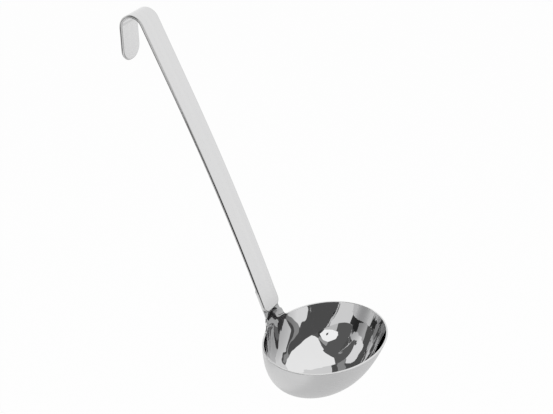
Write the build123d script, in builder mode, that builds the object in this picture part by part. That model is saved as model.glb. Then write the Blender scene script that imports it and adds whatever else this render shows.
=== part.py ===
"""Soup ladle: a deep-drawn cup with a neck tab, a hooked strip handle on the tab, and two spot welds."""
import os
from math import atan2, cos, degrees, radians, sin, sqrt, tan

from build123d import *

# Driving dimensions, in millimetres and degrees.
# The origin is the centre of the hook's bend, +Z is up, and the cup lies on the +X side of the hook.
# Every lean is measured from straight up, and leans the upper end towards -X.
cup_half_width = 47.4
cup_half_length = 39.25
cup_depth = 37.7
cup_shift = 8.2
rim_slope = 10.4
rim_handle_share = 0.626
bottom_handle_share = 0.696
cup_sheet = 1.2
rim_round = 0.45
length_match = 0.01

strip_width = 19.0
strip_thickness = 2.0
strip_round = 0.5
foot_corner = 5.0
tip_corner = 8.7
hook_radius = 7.5
hook_sweep = 155.0
tip_length = 24.0
shank_lean = 26.3
shank_length = 48.0
curve_length = 139.0
foot_lean = 21.3
foot_height = 30.0
foot_gap = 12.0

neck_bend_radius = 25.0
neck_root_play = 0.1
neck_root_depth = 1.5
neck_half_width = 10.6
neck_flare_radius = 6.0
neck_flare_sink = 0.3
neck_flare_margin = 0.4
bend_shares = [0.0, 1 / 3, 2 / 3]
shoulder_rise = 6.2
tongue_half_width = 8.7
tongue_height = 18.6
tongue_corner = 4.0

weld_radius = 2.5
weld_bite = 0.7
weld_pitch = 8.0
weld_edge_distance = 5.5


def up_the_strip(lean):
    """The direction up a strip of that lean, in X and Z."""
    return Vector(-sin(radians(lean)), cos(radians(lean)))


def out_of_the_strip(lean):
    """The direction out of the front face of a strip of that lean, in X and Z."""
    return Vector(cos(radians(lean)), sin(radians(lean)))


def on_symmetry_plane(flat):
    """The point or direction in space with these X and Z, half way across the ladle."""
    return Vector(flat.X, 0, flat.Y)


# Places that follow from the sizes, as X and Z in the plane of symmetry.
hook_outside_radius = hook_radius + strip_thickness
curve_angle = shank_lean - foot_lean
curve_radius = curve_length / radians(curve_angle)
shank_top = out_of_the_strip(shank_lean) * hook_outside_radius
curve_top = shank_top - up_the_strip(shank_lean) * shank_length
curve_centre = curve_top - out_of_the_strip(shank_lean) * curve_radius
curve_foot = curve_centre + out_of_the_strip(foot_lean) * curve_radius
front_at_rim = curve_foot - up_the_strip(foot_lean) * foot_height
strip_foot = front_at_rim + up_the_strip(foot_lean) * foot_gap
tab_back_at_rim = front_at_rim - Vector((strip_thickness + cup_sheet) / cos(radians(foot_lean)), 0)
wall_lean = -degrees(atan2(cup_shift - cup_half_length * tan(radians(rim_slope)), cup_depth))
neck_bend = foot_lean - wall_lean
neck_tangent = neck_bend_radius * tan(radians(neck_bend / 2))
bend_rise = neck_tangent * cos(radians(wall_lean))
bend_top = tab_back_at_rim + up_the_strip(foot_lean) * (bend_rise / cos(radians(foot_lean)) + neck_tangent)
bend_centre = bend_top - out_of_the_strip(foot_lean) * neck_bend_radius
rim_back = bend_centre + out_of_the_strip(wall_lean) * neck_bend_radius
rim_middle = on_symmetry_plane(rim_back) + Vector(cup_half_length, 0, 0)

# Cup: a round form whose wall slopes in from the rim and curves to a broad bottom. It is stretched to the
# cup's half width, half length and depth, with its lowest point carried back under the handle. A second one,
# smaller by the sheet, hollows it. The rim's two edges are rounded.
handle_inward = rim_handle_share * cup_half_width * sin(radians(rim_slope))
handle_downward = rim_handle_share * cup_half_width * cos(radians(rim_slope))
handle_outward = bottom_handle_share * cup_half_width

with BuildPart() as round_form:
    with BuildSketch(Plane.XZ):
        with BuildLine():
            Bezier(
                (cup_half_width, 0),
                (cup_half_width - handle_inward, -handle_downward),
                (handle_outward, -cup_half_width),
                (0, -cup_half_width),
            )
            Polyline((0, -cup_half_width), (0, 0), (cup_half_width, 0))
        make_face()
    revolve(axis=Axis.Z)


def drawn_form(half_length, half_width, depth):
    """The round form stretched to these sizes, with its flat at the rim."""
    stretch = Matrix(
        [
            [half_length / cup_half_width, 0, cup_shift / cup_half_width, rim_middle.X],
            [0, half_width / cup_half_width, 0, rim_middle.Y],
            [0, 0, depth / cup_half_width, rim_middle.Z],
        ]
    )
    return round_form.part.transform_geometry(stretch)


cup_outside = drawn_form(cup_half_length, cup_half_width, cup_depth)
cup_inside = drawn_form(cup_half_length - cup_sheet, cup_half_width - cup_sheet, cup_depth - cup_sheet)

with BuildPart() as cup:
    add(cup_outside)
    add(cup_inside, mode=Mode.SUBTRACT)
    fillet(cup.faces().sort_by(Axis.Z)[-1].edges(), rim_round)

# Band: the sheet that the neck is cut from. It is rooted inside the wall's thickness, bends back from the
# wall's slope to the strip's lean and grows flatter on the way, then goes up straight behind the strip.
flare_half_width = neck_half_width + neck_flare_radius
band_half_width = flare_half_width + neck_flare_margin


def band_plane(share, inset):
    """The plane across the band at that share of its bend, with its origin on the band's back face."""
    lean = wall_lean + share * neck_bend
    place = bend_centre + out_of_the_strip(lean) * (neck_bend_radius + inset)
    return Plane(
        origin=on_symmetry_plane(place),
        x_dir=on_symmetry_plane(out_of_the_strip(lean)),
        z_dir=on_symmetry_plane(up_the_strip(lean)),
    )


def band_section(plane, share):
    """The band's section: two arcs a sheet apart, thinner by the root's play where it is in the wall."""
    roundness = cup_half_width**2 / (cup_half_length * (1 - share))
    back_sag = roundness - sqrt(roundness**2 - band_half_width**2)
    thickness = cup_sheet - 2 * (1 - share) * neck_root_play
    front_sag = back_sag + thickness
    with BuildSketch(plane) as section:
        with BuildLine():
            back = ThreePointArc((back_sag, -band_half_width), (0, 0), (back_sag, band_half_width))
            front = ThreePointArc(
                (front_sag, -band_half_width), (thickness, 0), (front_sag, band_half_width)
            )
            Line(back @ 0, front @ 0)
            Line(back @ 1, front @ 1)
        make_face()
    return section.sketch


band_sections = [band_section(band_plane(0, neck_root_play).offset(-neck_root_depth), 0)]
for share in bend_shares:
    band_sections.append(band_section(band_plane(share, (1 - share) * neck_root_play), share))
with BuildSketch(band_plane(1, 0)) as band_top:
    Rectangle(cup_sheet, 2 * band_half_width, align=(Align.MIN, Align.CENTER))
band_sections.append(band_top.sketch)

# Neck: the band cut to its outline, as seen along the handle's bend. It flares into the rim, and a shoulder
# steps it in to the narrower tongue behind the strip.
flare_bottom = -neck_flare_sink
flare_top = neck_flare_radius - neck_flare_sink
outline_top = foot_height + tongue_height

with BuildPart() as neck:
    with BuildSketch(Plane(origin=rim_middle, x_dir=(0, 1, 0), z_dir=(1, 0, 0))):
        with BuildLine():
            Polyline(
                (0, -neck_root_depth),
                (flare_half_width, -neck_root_depth),
                (flare_half_width, flare_bottom),
            )
            RadiusArc((flare_half_width, flare_bottom), (neck_half_width, flare_top), neck_flare_radius)
            Polyline(
                (neck_half_width, flare_top),
                (neck_half_width, shoulder_rise),
                (tongue_half_width, shoulder_rise),
                (tongue_half_width, outline_top),
                (0, outline_top),
            )
            mirror(about=Plane.YZ)
        make_face()
    extrude(amount=2 * cup_half_length, both=True)
    with BuildPart(mode=Mode.INTERSECT):
        loft(sections=band_sections)
        extrude(band_top.sketch, amount=tongue_height)
    tongue_corners = neck.edges().filter_by(Axis((0, 0, 0), band_plane(1, 0).x_dir)).sort_by(Axis.Z)[-2:]
    fillet(tongue_corners, tongue_corner)

# Spot welds: round nuggets across the joint between strip and tongue, one above the other.
joint_plane = Plane(
    origin=on_symmetry_plane(strip_foot - out_of_the_strip(foot_lean) * strip_thickness),
    x_dir=(0, 1, 0),
    z_dir=on_symmetry_plane(out_of_the_strip(foot_lean)),
)

with BuildPart() as spot_welds:
    with BuildSketch(joint_plane.offset(-weld_bite)):
        with Locations((0, weld_edge_distance), (0, weld_edge_distance + weld_pitch)):
            Circle(weld_radius)
    extrude(amount=2 * weld_bite)

# Bowl: cup and neck are one pressing, with a pocket for each weld.
with BuildPart() as bowl:
    add(cup.part)
    add(neck.part)
    add(spot_welds.part, mode=Mode.SUBTRACT)

# Handle: one strip, bent through the hook, the slight curve of the shank and the straight foot.
with BuildPart() as handle:
    with BuildSketch(Plane.XZ):
        with BuildLine():
            foot = Line(strip_foot, curve_foot)
            curve = JernArc(start=foot @ 1, tangent=foot % 1, radius=curve_radius, arc_size=curve_angle)
            shank = Line(curve @ 1, shank_top)
            hook = JernArc(
                start=shank @ 1, tangent=shank % 1, radius=hook_outside_radius, arc_size=hook_sweep
            )
            PolarLine(start=hook @ 1, length=tip_length, direction=hook % 1)
            offset(amount=strip_thickness, side=Side.LEFT)
        make_face()
    extrude(amount=strip_width / 2, both=True)
    end_corners = handle.edges().filter_by(lambda edge: abs(edge.length - strip_thickness) < length_match)
    fillet(end_corners.sort_by(Axis.Z)[:2], foot_corner)
    end_corners = handle.edges().filter_by(lambda edge: abs(edge.length - strip_thickness) < length_match)
    fillet(end_corners.sort_by(Axis.Z)[-2:], tip_corner)
    outline_edges = handle.edges().filter_by(
        lambda edge: min(abs(edge.length - strip_thickness), abs(edge.length - strip_width)) > length_match
    )
    fillet(outline_edges, strip_round)
    add(spot_welds.part, mode=Mode.SUBTRACT)

os.makedirs("parts", exist_ok=True)
bowl.part.label = "bowl"
handle.part.label = "handle"
spot_welds.part.label = "spot_welds"
export_step(bowl.part, "parts/bowl.step")
export_step(handle.part, "parts/handle.step")
export_step(spot_welds.part, "parts/spot_welds.step")
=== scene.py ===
import math

import bpy
from mathutils import Matrix, Vector


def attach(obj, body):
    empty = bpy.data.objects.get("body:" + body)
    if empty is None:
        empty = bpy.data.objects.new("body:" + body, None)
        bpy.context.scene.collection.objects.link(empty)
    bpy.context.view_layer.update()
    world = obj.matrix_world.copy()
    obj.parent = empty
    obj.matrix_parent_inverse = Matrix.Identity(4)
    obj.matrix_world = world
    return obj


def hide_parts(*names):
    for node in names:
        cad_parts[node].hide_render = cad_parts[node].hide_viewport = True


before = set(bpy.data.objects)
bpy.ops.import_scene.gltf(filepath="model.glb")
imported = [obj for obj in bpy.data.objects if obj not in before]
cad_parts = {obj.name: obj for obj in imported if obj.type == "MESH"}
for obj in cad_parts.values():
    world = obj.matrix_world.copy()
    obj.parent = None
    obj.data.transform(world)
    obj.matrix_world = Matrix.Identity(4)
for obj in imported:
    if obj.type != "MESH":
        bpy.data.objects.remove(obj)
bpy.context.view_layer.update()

# The photographed view: the camera looks down at the ladle from its front left, about a metre off. It is
# placed from one point, half way across the ladle and level with the rim, and where the picture has it.
measured_point = Vector((0.130622, 0, -0.193912))
view_azimuth = math.radians(-60.463)
view_elevation = math.radians(27.124)
view_roll = math.radians(-1.332)
view_distance = 1.04534
picture_width = 553
picture_height = 414
focal_length = 1605.663
point_across = 325.527
point_down = 336.706
sensor_width = 36

toward_camera = Vector((math.cos(view_elevation) * math.cos(view_azimuth),
                        math.cos(view_elevation) * math.sin(view_azimuth),
                        math.sin(view_elevation)))
level_right = Vector((-math.sin(view_azimuth), math.cos(view_azimuth), 0))
level_up = toward_camera.cross(level_right)
right = level_right * math.cos(view_roll) + level_up * math.sin(view_roll)
up = level_up * math.cos(view_roll) - level_right * math.sin(view_roll)
across = (point_across - picture_width / 2) * view_distance / focal_length
upward = (picture_height / 2 - point_down) * view_distance / focal_length

bpy.ops.object.camera_add(
    location=measured_point + toward_camera * view_distance - right * across - up * upward)
camera = bpy.context.object
camera.rotation_euler = Matrix((right, up, toward_camera)).transposed().to_euler()
camera.data.sensor_width = sensor_width
camera.data.lens = focal_length / picture_width * sensor_width
bpy.context.scene.camera = camera
bpy.context.scene.view_settings.view_transform = "Standard"

# Bowl: the cup, the neck and the tongue behind the handle are one pressing of stainless sheet. It is
# mirror polished inside and up the front of the neck, satin outside, and its cut edge is rounded over.
rim_middle = Vector((0.130473, 0, -0.193912))
cup_half_length = 0.03915
cup_half_width = 0.0474
cup_depth = 0.0377
cup_shift = 0.0082
rim_slope = math.radians(10.4)
rim_handle_share = 0.626
bottom_handle_share = 0.696
cup_cuts = 23
sheet = 0.0012
rim_round = 0.00045
rim_round_steps = 3
rim_edge_angle = math.radians(60)

neck_lean = math.radians(21.3)
wall_lean = -math.atan((cup_shift - cup_half_length * math.tan(rim_slope)) / cup_depth)
neck_bend = neck_lean - wall_lean
bend_radius = 0.025
rim_back = rim_middle - Vector((cup_half_length, 0, 0))
bend_centre = rim_back - Vector((math.cos(wall_lean), 0, math.sin(wall_lean))) * bend_radius
flare_half_width = 0.0155
# For each step up the neck: its share of the bend, then how much of its width and of its curve a row keeps.
bend_steps = [(0.13, 0.823, 0.8), (0.24, 0.88, 0.75), (0.29, 0.964, 0.6)]
shoulder_low = 0.005
shoulder_inner = 0.007
shoulder_outer = 0.0095
shoulder_move = 0.0006
tongue_turn_share = 0.34
tongue_rows = 3
tongue_row_rise = 0.0062
hair = 0.00001

# How far along the ladle from the rim's middle the lines of the drawing show, and where the neck's steel is
# painted darker: painted shade that stands for the dark surroundings the neck reflects.
drawn_from = 0.010
drawn_to = 0.024
painted_shade_neck_from = -0.033
painted_shade_neck_to = -0.040
painted_neck_shade = (0.33, 0.33, 0.335, 1)
turned_line_depth = 0.000006
wave_share = 0.2
wave_depth = 0.0003


def pick(piece, kind, test):
    """Selects the vertices, edges or faces of which every corner passes the test."""
    bpy.ops.object.mode_set(mode="OBJECT")
    mesh = piece.data
    passed = [test(corner.co) for corner in mesh.vertices]
    for corner in mesh.vertices:
        corner.select = kind == "VERT" and passed[corner.index]
    for edge in mesh.edges:
        edge.select = kind == "EDGE" and all(passed[i] for i in edge.vertices)
    for face in mesh.polygons:
        face.select = kind == "FACE" and all(passed[i] for i in face.vertices)
    bpy.ops.object.mode_set(mode="EDIT")
    bpy.ops.mesh.select_mode(type=kind)


def on_the_cup(place):
    """Where a point of the half ball goes on the cup, whose wall slopes in from the rim."""
    way = 2 / math.pi * math.atan2(-place.z, math.hypot(place.x, place.y))
    rest = 1 - way
    handle_inward = rim_handle_share * math.sin(rim_slope)
    handle_downward = rim_handle_share * math.cos(rim_slope)
    breadth = rest**3 + 3 * rest**2 * way * (1 - handle_inward)
    breadth += 3 * rest * way**2 * bottom_handle_share
    depth = 3 * rest**2 * way * handle_downward + 3 * rest * way**2 + way**3
    direction = math.atan2(place.y, place.x)
    return rim_middle + Vector((
        cup_half_length * breadth * math.cos(direction) - cup_shift * depth,
        cup_half_width * breadth * math.sin(direction),
        -cup_depth * depth,
    ))


bpy.ops.object.select_all(action="DESELECT")
bpy.ops.mesh.primitive_cube_add(size=2)
bowl = bpy.context.object
bowl.name = "pressed_bowl"
bpy.ops.object.mode_set(mode="EDIT")
bpy.ops.mesh.select_all(action="SELECT")
bpy.ops.mesh.subdivide(number_cuts=cup_cuts)
bpy.ops.transform.tosphere(value=1)
pick(bowl, "VERT", lambda place: place.z > hair)
bpy.ops.mesh.delete(type="VERT")
bpy.ops.object.mode_set(mode="OBJECT")
for corner in bowl.data.vertices:
    corner.co = on_the_cup(corner.co)


def at_lean(lean):
    """The place on the back of the bend's middle line where the sheet has that lean."""
    return bend_centre + Vector((math.cos(lean), 0, math.sin(lean))) * bend_radius


def next_row(lean, turn_share, widen, flatten):
    """Takes the selected row on round the bend, widens and flattens it, and gives its lean."""
    bpy.ops.mesh.extrude_edges_move()
    bpy.ops.transform.rotate(value=turn_share * neck_bend, orient_axis="Y", center_override=bend_centre)
    new_lean = lean + turn_share * neck_bend
    bpy.ops.transform.resize(value=(flatten, widen, flatten), center_override=at_lean(new_lean))
    return new_lean


lean = wall_lean
pick(bowl, "EDGE", lambda place: place.z > rim_middle.z - hair and place.x < rim_middle.x
     and abs(place.y) < flare_half_width)
for turn_share, widen, flatten in bend_steps:
    lean = next_row(lean, turn_share, widen, flatten)
for side in (1, -1):
    pick(bowl, "VERT", lambda place: place.z > rim_middle.z + shoulder_low
         and shoulder_inner < side * place.y < shoulder_outer)
    bpy.ops.transform.translate(value=(0, side * shoulder_move, 0))

pick(bowl, "EDGE", lambda place: place.z > rim_middle.z + shoulder_low
     and abs(place.y) < shoulder_outer)
lean = next_row(lean, tongue_turn_share, 1, 0)
for row in range(tongue_rows):
    bpy.ops.mesh.extrude_edges_move()
    bpy.ops.transform.translate(
        value=(-math.sin(lean) * tongue_row_rise, 0, math.cos(lean) * tongue_row_rise))
bpy.ops.mesh.select_all(action="SELECT")
bpy.ops.mesh.normals_make_consistent(inside=False)
bpy.ops.object.mode_set(mode="OBJECT")


def finish_with(piece, kind, **settings):
    """Puts that modifier on the piece and applies it."""
    bpy.context.view_layer.objects.active = piece
    modifier = piece.modifiers.new(kind.lower(), kind)
    for setting, value in settings.items():
        setattr(modifier, setting, value)
    bpy.ops.object.modifier_apply(modifier=modifier.name)


class Finish:
    """One value in a finish's nodes: sums of such values are written plainly, and make the nodes."""

    def __init__(self, tree, socket=None):
        self.tree = tree
        self.socket = socket

    def made_by(self, kind, settings, sockets, output=0):
        """What a new node gives, with its settings made first and its sockets given values or links."""
        node = self.tree.nodes.new(kind)
        for setting, value in settings.items():
            setattr(node, setting, value)
        for name, value in sockets.items():
            if isinstance(value, Finish):
                self.tree.links.new(value.socket, node.inputs[name])
            else:
                node.inputs[name].default_value = value
        return Finish(self.tree, node.outputs[output])

    def feeds(self, node, name):
        """Joins this value to that socket of the node."""
        self.tree.links.new(self.socket, node.inputs[name])

    def worked(self, operation, first, second):
        """One step of plain maths."""
        return self.made_by("ShaderNodeMath", {"operation": operation}, {0: first, 1: second})

    def __add__(self, other):
        return self.worked("ADD", self, other)

    __radd__ = __add__

    def __sub__(self, other):
        return self.worked("SUBTRACT", self, other)

    def __rsub__(self, other):
        return self.worked("SUBTRACT", other, self)

    def __mul__(self, other):
        return self.worked("MULTIPLY", self, other)

    __rmul__ = __mul__


def bare_steel(name):
    """A new bare metal of that name: the material, its shader, and places on the piece."""
    steel = bpy.data.materials.new(name)
    steel.use_nodes = True
    shader = steel.node_tree.nodes["Principled BSDF"]
    shader.inputs["Metallic"].default_value = 1
    return steel, shader, Finish(steel.node_tree).made_by("ShaderNodeTexCoord", {}, {}, "Object")


def grain(place, stretch, detail=2):
    """Noise of so many waves a metre along each axis: it is drawn out to lines where there are few."""
    stretched = place.made_by("ShaderNodeMapping", {}, {"Vector": place, "Scale": stretch})
    return place.made_by("ShaderNodeTexNoise", {}, {"Vector": stretched, "Scale": 1, "Detail": detail})


def between(value, low, high):
    """How far the value is from low to high, held between 0 and 1."""
    return value.made_by("ShaderNodeMapRange", {}, {"Value": value, "From Min": low, "From Max": high})


def tinted(share, dull, bright):
    """A colour between the two greys or tints, by the share."""
    return share.made_by("ShaderNodeMix", {"data_type": "RGBA"}, {0: share, 6: dull, 7: bright}, 2)


def raised(height, depth):
    """The surface's normal with that height pressed into it, so deep."""
    return height.made_by("ShaderNodeBump", {}, {"Height": height, "Distance": depth})


finish_with(bowl, "SUBSURF", levels=2, render_levels=2)

satin, shader, place = bare_steel("satin_outside")
turned_lines = grain(place, (14, 14, 1500))
blotches = grain(place, (45, 45, 45), 4)
tinted(blotches, (0.57, 0.57, 0.575, 1), (0.66, 0.66, 0.66, 1)).feeds(shader, "Base Color")
(0.22 + 0.10 * turned_lines + 0.06 * blotches).feeds(shader, "Roughness")
raised(turned_lines, turned_line_depth).feeds(shader, "Normal")

mirror, shader, place = bare_steel("polished_inside")
smears = grain(place, (30, 60, 30), 5)
hairlines = grain(place, (1800, 40, 160), 1)
along = place.made_by("ShaderNodeSeparateXYZ", {}, {0: place}, "X") - rim_middle.x
smeared = tinted(smears, (0.74, 0.74, 0.745, 1), (0.80, 0.80, 0.80, 1))
# Up the neck the polished steel's base colour turns to a dark grey: painted shade for the dark surroundings
# the neck reflects.
painted_shade_up_neck = between(along, painted_shade_neck_from, painted_shade_neck_to)
tinted(painted_shade_up_neck, smeared, painted_neck_shade).feeds(shader, "Base Color")
worn = 0.05 * between(smears, 0.45, 0.8) + 0.03 * between(hairlines, 0.62, 0.75)
(0.015 + worn).feeds(shader, "Roughness")
waves = grain(place, (26, 26, 26), 1)
draw_lines = grain(place, (110, 110, 15), 1)
far_end = between(along.worked("ABSOLUTE", along, 0), drawn_from, drawn_to)
raised(wave_share * waves + far_end * draw_lines, wave_depth).feeds(shader, "Normal")

edge, shader, place = bare_steel("rounded_edge")
nicks = grain(place, (900, 900, 900))
tinted(nicks, (0.66, 0.66, 0.66, 1), (0.76, 0.76, 0.76, 1)).feeds(shader, "Base Color")
(0.10 + 0.12 * nicks).feeds(shader, "Roughness")

for finish in (satin, mirror, edge):
    bowl.data.materials.append(finish)
finish_with(bowl, "SOLIDIFY", thickness=sheet, offset=-1, use_even_offset=True, material_offset=1,
            material_offset_rim=2)
bpy.ops.object.shade_smooth()
finish_with(bowl, "BEVEL", width=rim_round, segments=rim_round_steps, limit_method="ANGLE",
            angle_limit=rim_edge_angle, harden_normals=True)
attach(bowl, "root")
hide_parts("bowl")

# Handle: one strip of steel, brushed fine along its length, with rounded corners and smooth rounded edges.
# It is bent into the hook at the top, and its foot is spot welded to the front of the bowl's tongue.
strip_width = 0.019
strip_thickness = 0.002
strip_round = 0.00095
strip_round_steps = 4
strip_edge_angle = math.radians(50)
foot_corner = 0.005
tip_corner = 0.0087
corner_steps = 10
hook_radius = 0.0075
hook_sweep = math.radians(155)
hook_steps = 31
tip_length = 0.024
shank_lean = math.radians(26.3)
shank_length = 0.048
curve_length = 0.139
curve_steps = 10
foot_length = 0.018
brushed_depth = 0.000001


def up_at(lean):
    """The direction up a strip of that lean."""
    return Vector((-math.sin(lean), 0, math.cos(lean)))


def out_at(lean):
    """The direction out of the front of a strip of that lean."""
    return Vector((math.cos(lean), 0, math.sin(lean)))


curve_angle = shank_lean - neck_lean
curve_radius = curve_length / curve_angle
curve_top = out_at(shank_lean) * (hook_radius + strip_thickness) - up_at(shank_lean) * shank_length
curve_centre = curve_top - out_at(shank_lean) * curve_radius
curve_foot = curve_centre + out_at(neck_lean) * curve_radius
strip_foot = curve_foot - up_at(neck_lean) * foot_length
tip_lean = shank_lean + hook_sweep
tip = out_at(tip_lean) * hook_radius + up_at(tip_lean) * tip_length

bpy.ops.object.select_all(action="DESELECT")
bpy.ops.mesh.primitive_cube_add(
    size=1,
    location=strip_foot + up_at(neck_lean) * foot_length / 2 - out_at(neck_lean) * strip_thickness / 2,
    rotation=(0, -neck_lean, 0),
    scale=(strip_thickness, strip_width, foot_length),
)
strip = bpy.context.object
strip.name = "strip_handle"
bpy.ops.object.transform_apply(location=True, rotation=True, scale=True)
pick(strip, "FACE", lambda place: (place - strip_foot).dot(up_at(neck_lean)) > foot_length / 2)
bpy.ops.mesh.spin(steps=curve_steps, angle=curve_angle, center=curve_centre, axis=(0, 1, 0))
bpy.ops.mesh.extrude_region_move(TRANSFORM_OT_translate={"value": up_at(shank_lean) * shank_length})
bpy.ops.mesh.spin(steps=hook_steps, angle=hook_sweep, center=(0, 0, 0), axis=(0, 1, 0))
bpy.ops.mesh.extrude_region_move(TRANSFORM_OT_translate={"value": up_at(tip_lean) * tip_length})
strip_ends = [
    (strip_foot, up_at(neck_lean), foot_corner),
    (tip, -up_at(tip_lean), tip_corner),
]
for end, direction, radius in strip_ends:
    for side in (1, -1):
        pick(strip, "EDGE", lambda place: side * place.y > 0 and abs((place - end).dot(direction)) < hair
             and (place - end).length < strip_width)
        bpy.ops.mesh.bevel(offset=radius, segments=corner_steps, affect="EDGES")
bpy.ops.mesh.select_all(action="SELECT")
bpy.ops.mesh.normals_make_consistent(inside=False)
bpy.ops.object.mode_set(mode="OBJECT")

brushed, shader, place = bare_steel("brushed_along")
long_lines = grain(place, (9, 1400, 9))
broad_lines = grain(place, (5, 300, 5))
blotches = grain(place, (40, 40, 40), 4)
tinted(broad_lines, (0.68, 0.68, 0.685, 1), (0.73, 0.73, 0.73, 1)).feeds(shader, "Base Color")
(0.11 + 0.05 * long_lines + 0.04 * blotches).feeds(shader, "Roughness")
raised(long_lines, brushed_depth).feeds(shader, "Normal")

# The handle's rounded edges get a darker grey than its face: painted shade for the dark line the edges
# reflect. The rubs vary that grey at random.
painted_dark_edge, shader, place = bare_steel("edge_painted_dark")
rubs = grain(place, (500, 500, 60), 3)
tinted(rubs, (0.50, 0.50, 0.50, 1), (0.60, 0.60, 0.60, 1)).feeds(shader, "Base Color")
(0.03 + 0.04 * rubs).feeds(shader, "Roughness")

for finish in (brushed, painted_dark_edge):
    strip.data.materials.append(finish)
bpy.ops.object.shade_smooth()
finish_with(strip, "BEVEL", width=strip_round, segments=strip_round_steps, limit_method="ANGLE",
            angle_limit=strip_edge_angle, harden_normals=True, material=1)
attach(strip, "root")
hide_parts("handle")

# Spot welds: two round nuggets where the current melted strip and tongue together. They lie inside the
# joint, are rough from cooling, and are a little blue and straw at their edges from the heat.
ripple_depth = 0.00004

spot_welds = bpy.data.objects["spot_welds"]
melted, shader, place = bare_steel("heat_tinted_weld")
ripples = grain(place, (1200, 1200, 1200), 3)
tints = grain(place, (300, 300, 300))
heated = between(tints, 0.35, 0.65)
tinted(heated, (0.36, 0.38, 0.44, 1), (0.56, 0.50, 0.40, 1)).feeds(shader, "Base Color")
(0.38 + 0.24 * ripples).feeds(shader, "Roughness")
raised(ripples, ripple_depth).feeds(shader, "Normal")
spot_welds.material_slots[0].material = melted

# Studio: a white room with a pale floor and a soft lamp overhead. Cards that only reflections see stand for
# what the steel shows: a dark room on the camera's side with an eight-sided lamp, a doorway, and some grey
# and dark surfaces lower down.
plain_light = 0.75
floor_size = 8
floor_height = -0.8
floor_lift = 0.95
lamp_azimuth = 60
lamp_elevation = 70
lamp_distance = 1.4
lamp_size = 0.7
lamp_power = 6


def toward(azimuth, elevation):
    """The direction with that azimuth and elevation in degrees, as seen from the bowl."""
    return Vector((math.cos(math.radians(elevation)) * math.cos(math.radians(azimuth)),
                   math.cos(math.radians(elevation)) * math.sin(math.radians(azimuth)),
                   math.sin(math.radians(elevation))))


def card(name, glow, distance, corners):
    """A card round the bowl, seen only in reflections, with its corners in those directions."""
    bpy.ops.object.select_all(action="DESELECT")
    bpy.ops.mesh.primitive_circle_add(vertices=len(corners), fill_type="NGON")
    sheet_card = bpy.context.object
    sheet_card.name = name
    for corner, direction in zip(sheet_card.data.vertices, corners):
        corner.co = rim_middle + toward(*direction) * distance
    paper = bpy.data.materials.new(name)
    paper.use_nodes = True
    paper.node_tree.nodes.clear()
    shade = (glow, glow, glow, 1)
    glowing = Finish(paper.node_tree).made_by("ShaderNodeEmission", {}, {"Color": shade, "Strength": 1})
    glowing.feeds(paper.node_tree.nodes.new("ShaderNodeOutputMaterial"), "Surface")
    sheet_card.data.materials.append(paper)
    sheet_card.visible_camera = False
    sheet_card.visible_diffuse = False
    sheet_card.visible_shadow = False


card("dark_room", 0.115, 4, [
    (-165, 31), (174, 42), (146, 51), (164, 64), (-141, 84), (-63, 79), (-72, 65), (-39, 32), (-25, 15),
    (-29, -2), (-45, 5), (-76, 8), (-97, 8), (-120, 11), (-145, 20),
])
card("grey_wall", 0.38, 1.45, [
    (-72, 65), (-39, 32), (-45, 29), (-60, 45), (-74, 54),
])
card("pale_table", 0.6, 1.35, [(-85, 24), (-53, 15), (-48, 7), (-70, 5), (-83, 9)])
card("dark_doorway", 0.05, 3.6, [
    (-4, 8), (-4, -4), (-12, -9), (-92, -9), (-92, -3), (-63, 4), (-50, 14), (-46, 27), (-42, 27),
    (-40, 15), (-8, 13),
])
card("dark_skirting", 0.05, 1.3, [(-75, -4), (-75, -12), (-108, -24), (-108, -10), (-92, -2)])
card("dark_corner", 0.03, 0.6, [(46, -5.5), (46, -15), (60, -16), (60, -5.5)])
card("grey_stand", 0.15, 0.54, [(-142, -12), (-126, -12), (-126, 5), (-142, 5)])
card("grey_side", 0.3, 0.65, [(160, -30), (160, -12), (200, 0), (225, 6), (225, -22), (190, -36)])
card("grey_floor", 0.8, 0.66, [
    (-60, -56), (-10, -20), (30, -14), (75, -14), (100, -30), (150, -50), (-150, -70),
])
card("soft_box", 1.1, 1.2, [
    (-97, 33), (-94, 44), (-72, 52), (-54, 43), (-44, 21), (-53, 15), (-73, 20), (-90, 26),
])
card("lens", 0.15, 1.1, [
    (-66, 28), (-65, 31), (-61, 31), (-60, 28), (-61, 25), (-65, 25),
])


def seen_as_white(tree):
    """1 for what the camera, a reflection or a see-through part looks at, and 0 for the light itself."""
    rays = tree.nodes.new("ShaderNodeLightPath").outputs
    camera_ray = Finish(tree, rays["Is Camera Ray"])
    glossy_ray = Finish(tree, rays["Is Glossy Ray"])
    see_through_ray = Finish(tree, rays["Is Transmission Ray"])
    seen = camera_ray.worked("MAXIMUM", camera_ray, glossy_ray)
    return seen.worked("MAXIMUM", seen, see_through_ray)


world = bpy.data.worlds.new("white_room")
bpy.context.scene.world = world
world.use_nodes = True
background = world.node_tree.nodes["Background"]
background.inputs["Color"].default_value = (1, 1, 1, 1)
(plain_light + (1 - plain_light) * seen_as_white(world.node_tree)).feeds(background, "Strength")

bpy.ops.object.select_all(action="DESELECT")
bpy.ops.mesh.primitive_plane_add(size=floor_size, location=(rim_middle.x, 0, floor_height))
floor = bpy.context.object
floor.name = "pale_floor"
pale = bpy.data.materials.new("pale_floor")
pale.use_nodes = True
tree = pale.node_tree
tree.nodes.clear()
dull = Finish(tree).made_by("ShaderNodeBsdfDiffuse", {}, {"Color": (0.9, 0.9, 0.9, 1)})
white = Finish(tree).made_by("ShaderNodeEmission", {}, {"Color": (1, 1, 1, 1), "Strength": 1})
lifted = floor_lift * seen_as_white(tree)
lifted.made_by("ShaderNodeMixShader", {}, {0: lifted, 1: dull, 2: white}).feeds(
    tree.nodes.new("ShaderNodeOutputMaterial"), "Surface")
floor.data.materials.append(pale)

toward_lamp = toward(lamp_azimuth, lamp_elevation)
bpy.ops.object.light_add(type="AREA", location=rim_middle + toward_lamp * lamp_distance)
lamp = bpy.context.object
lamp.name = "soft_lamp"
lamp.rotation_euler = toward_lamp.to_track_quat("Z", "Y").to_euler()
lamp.data.shape = "DISK"
lamp.data.size = lamp_size
lamp.data.energy = lamp_power
lamp.visible_glossy = False
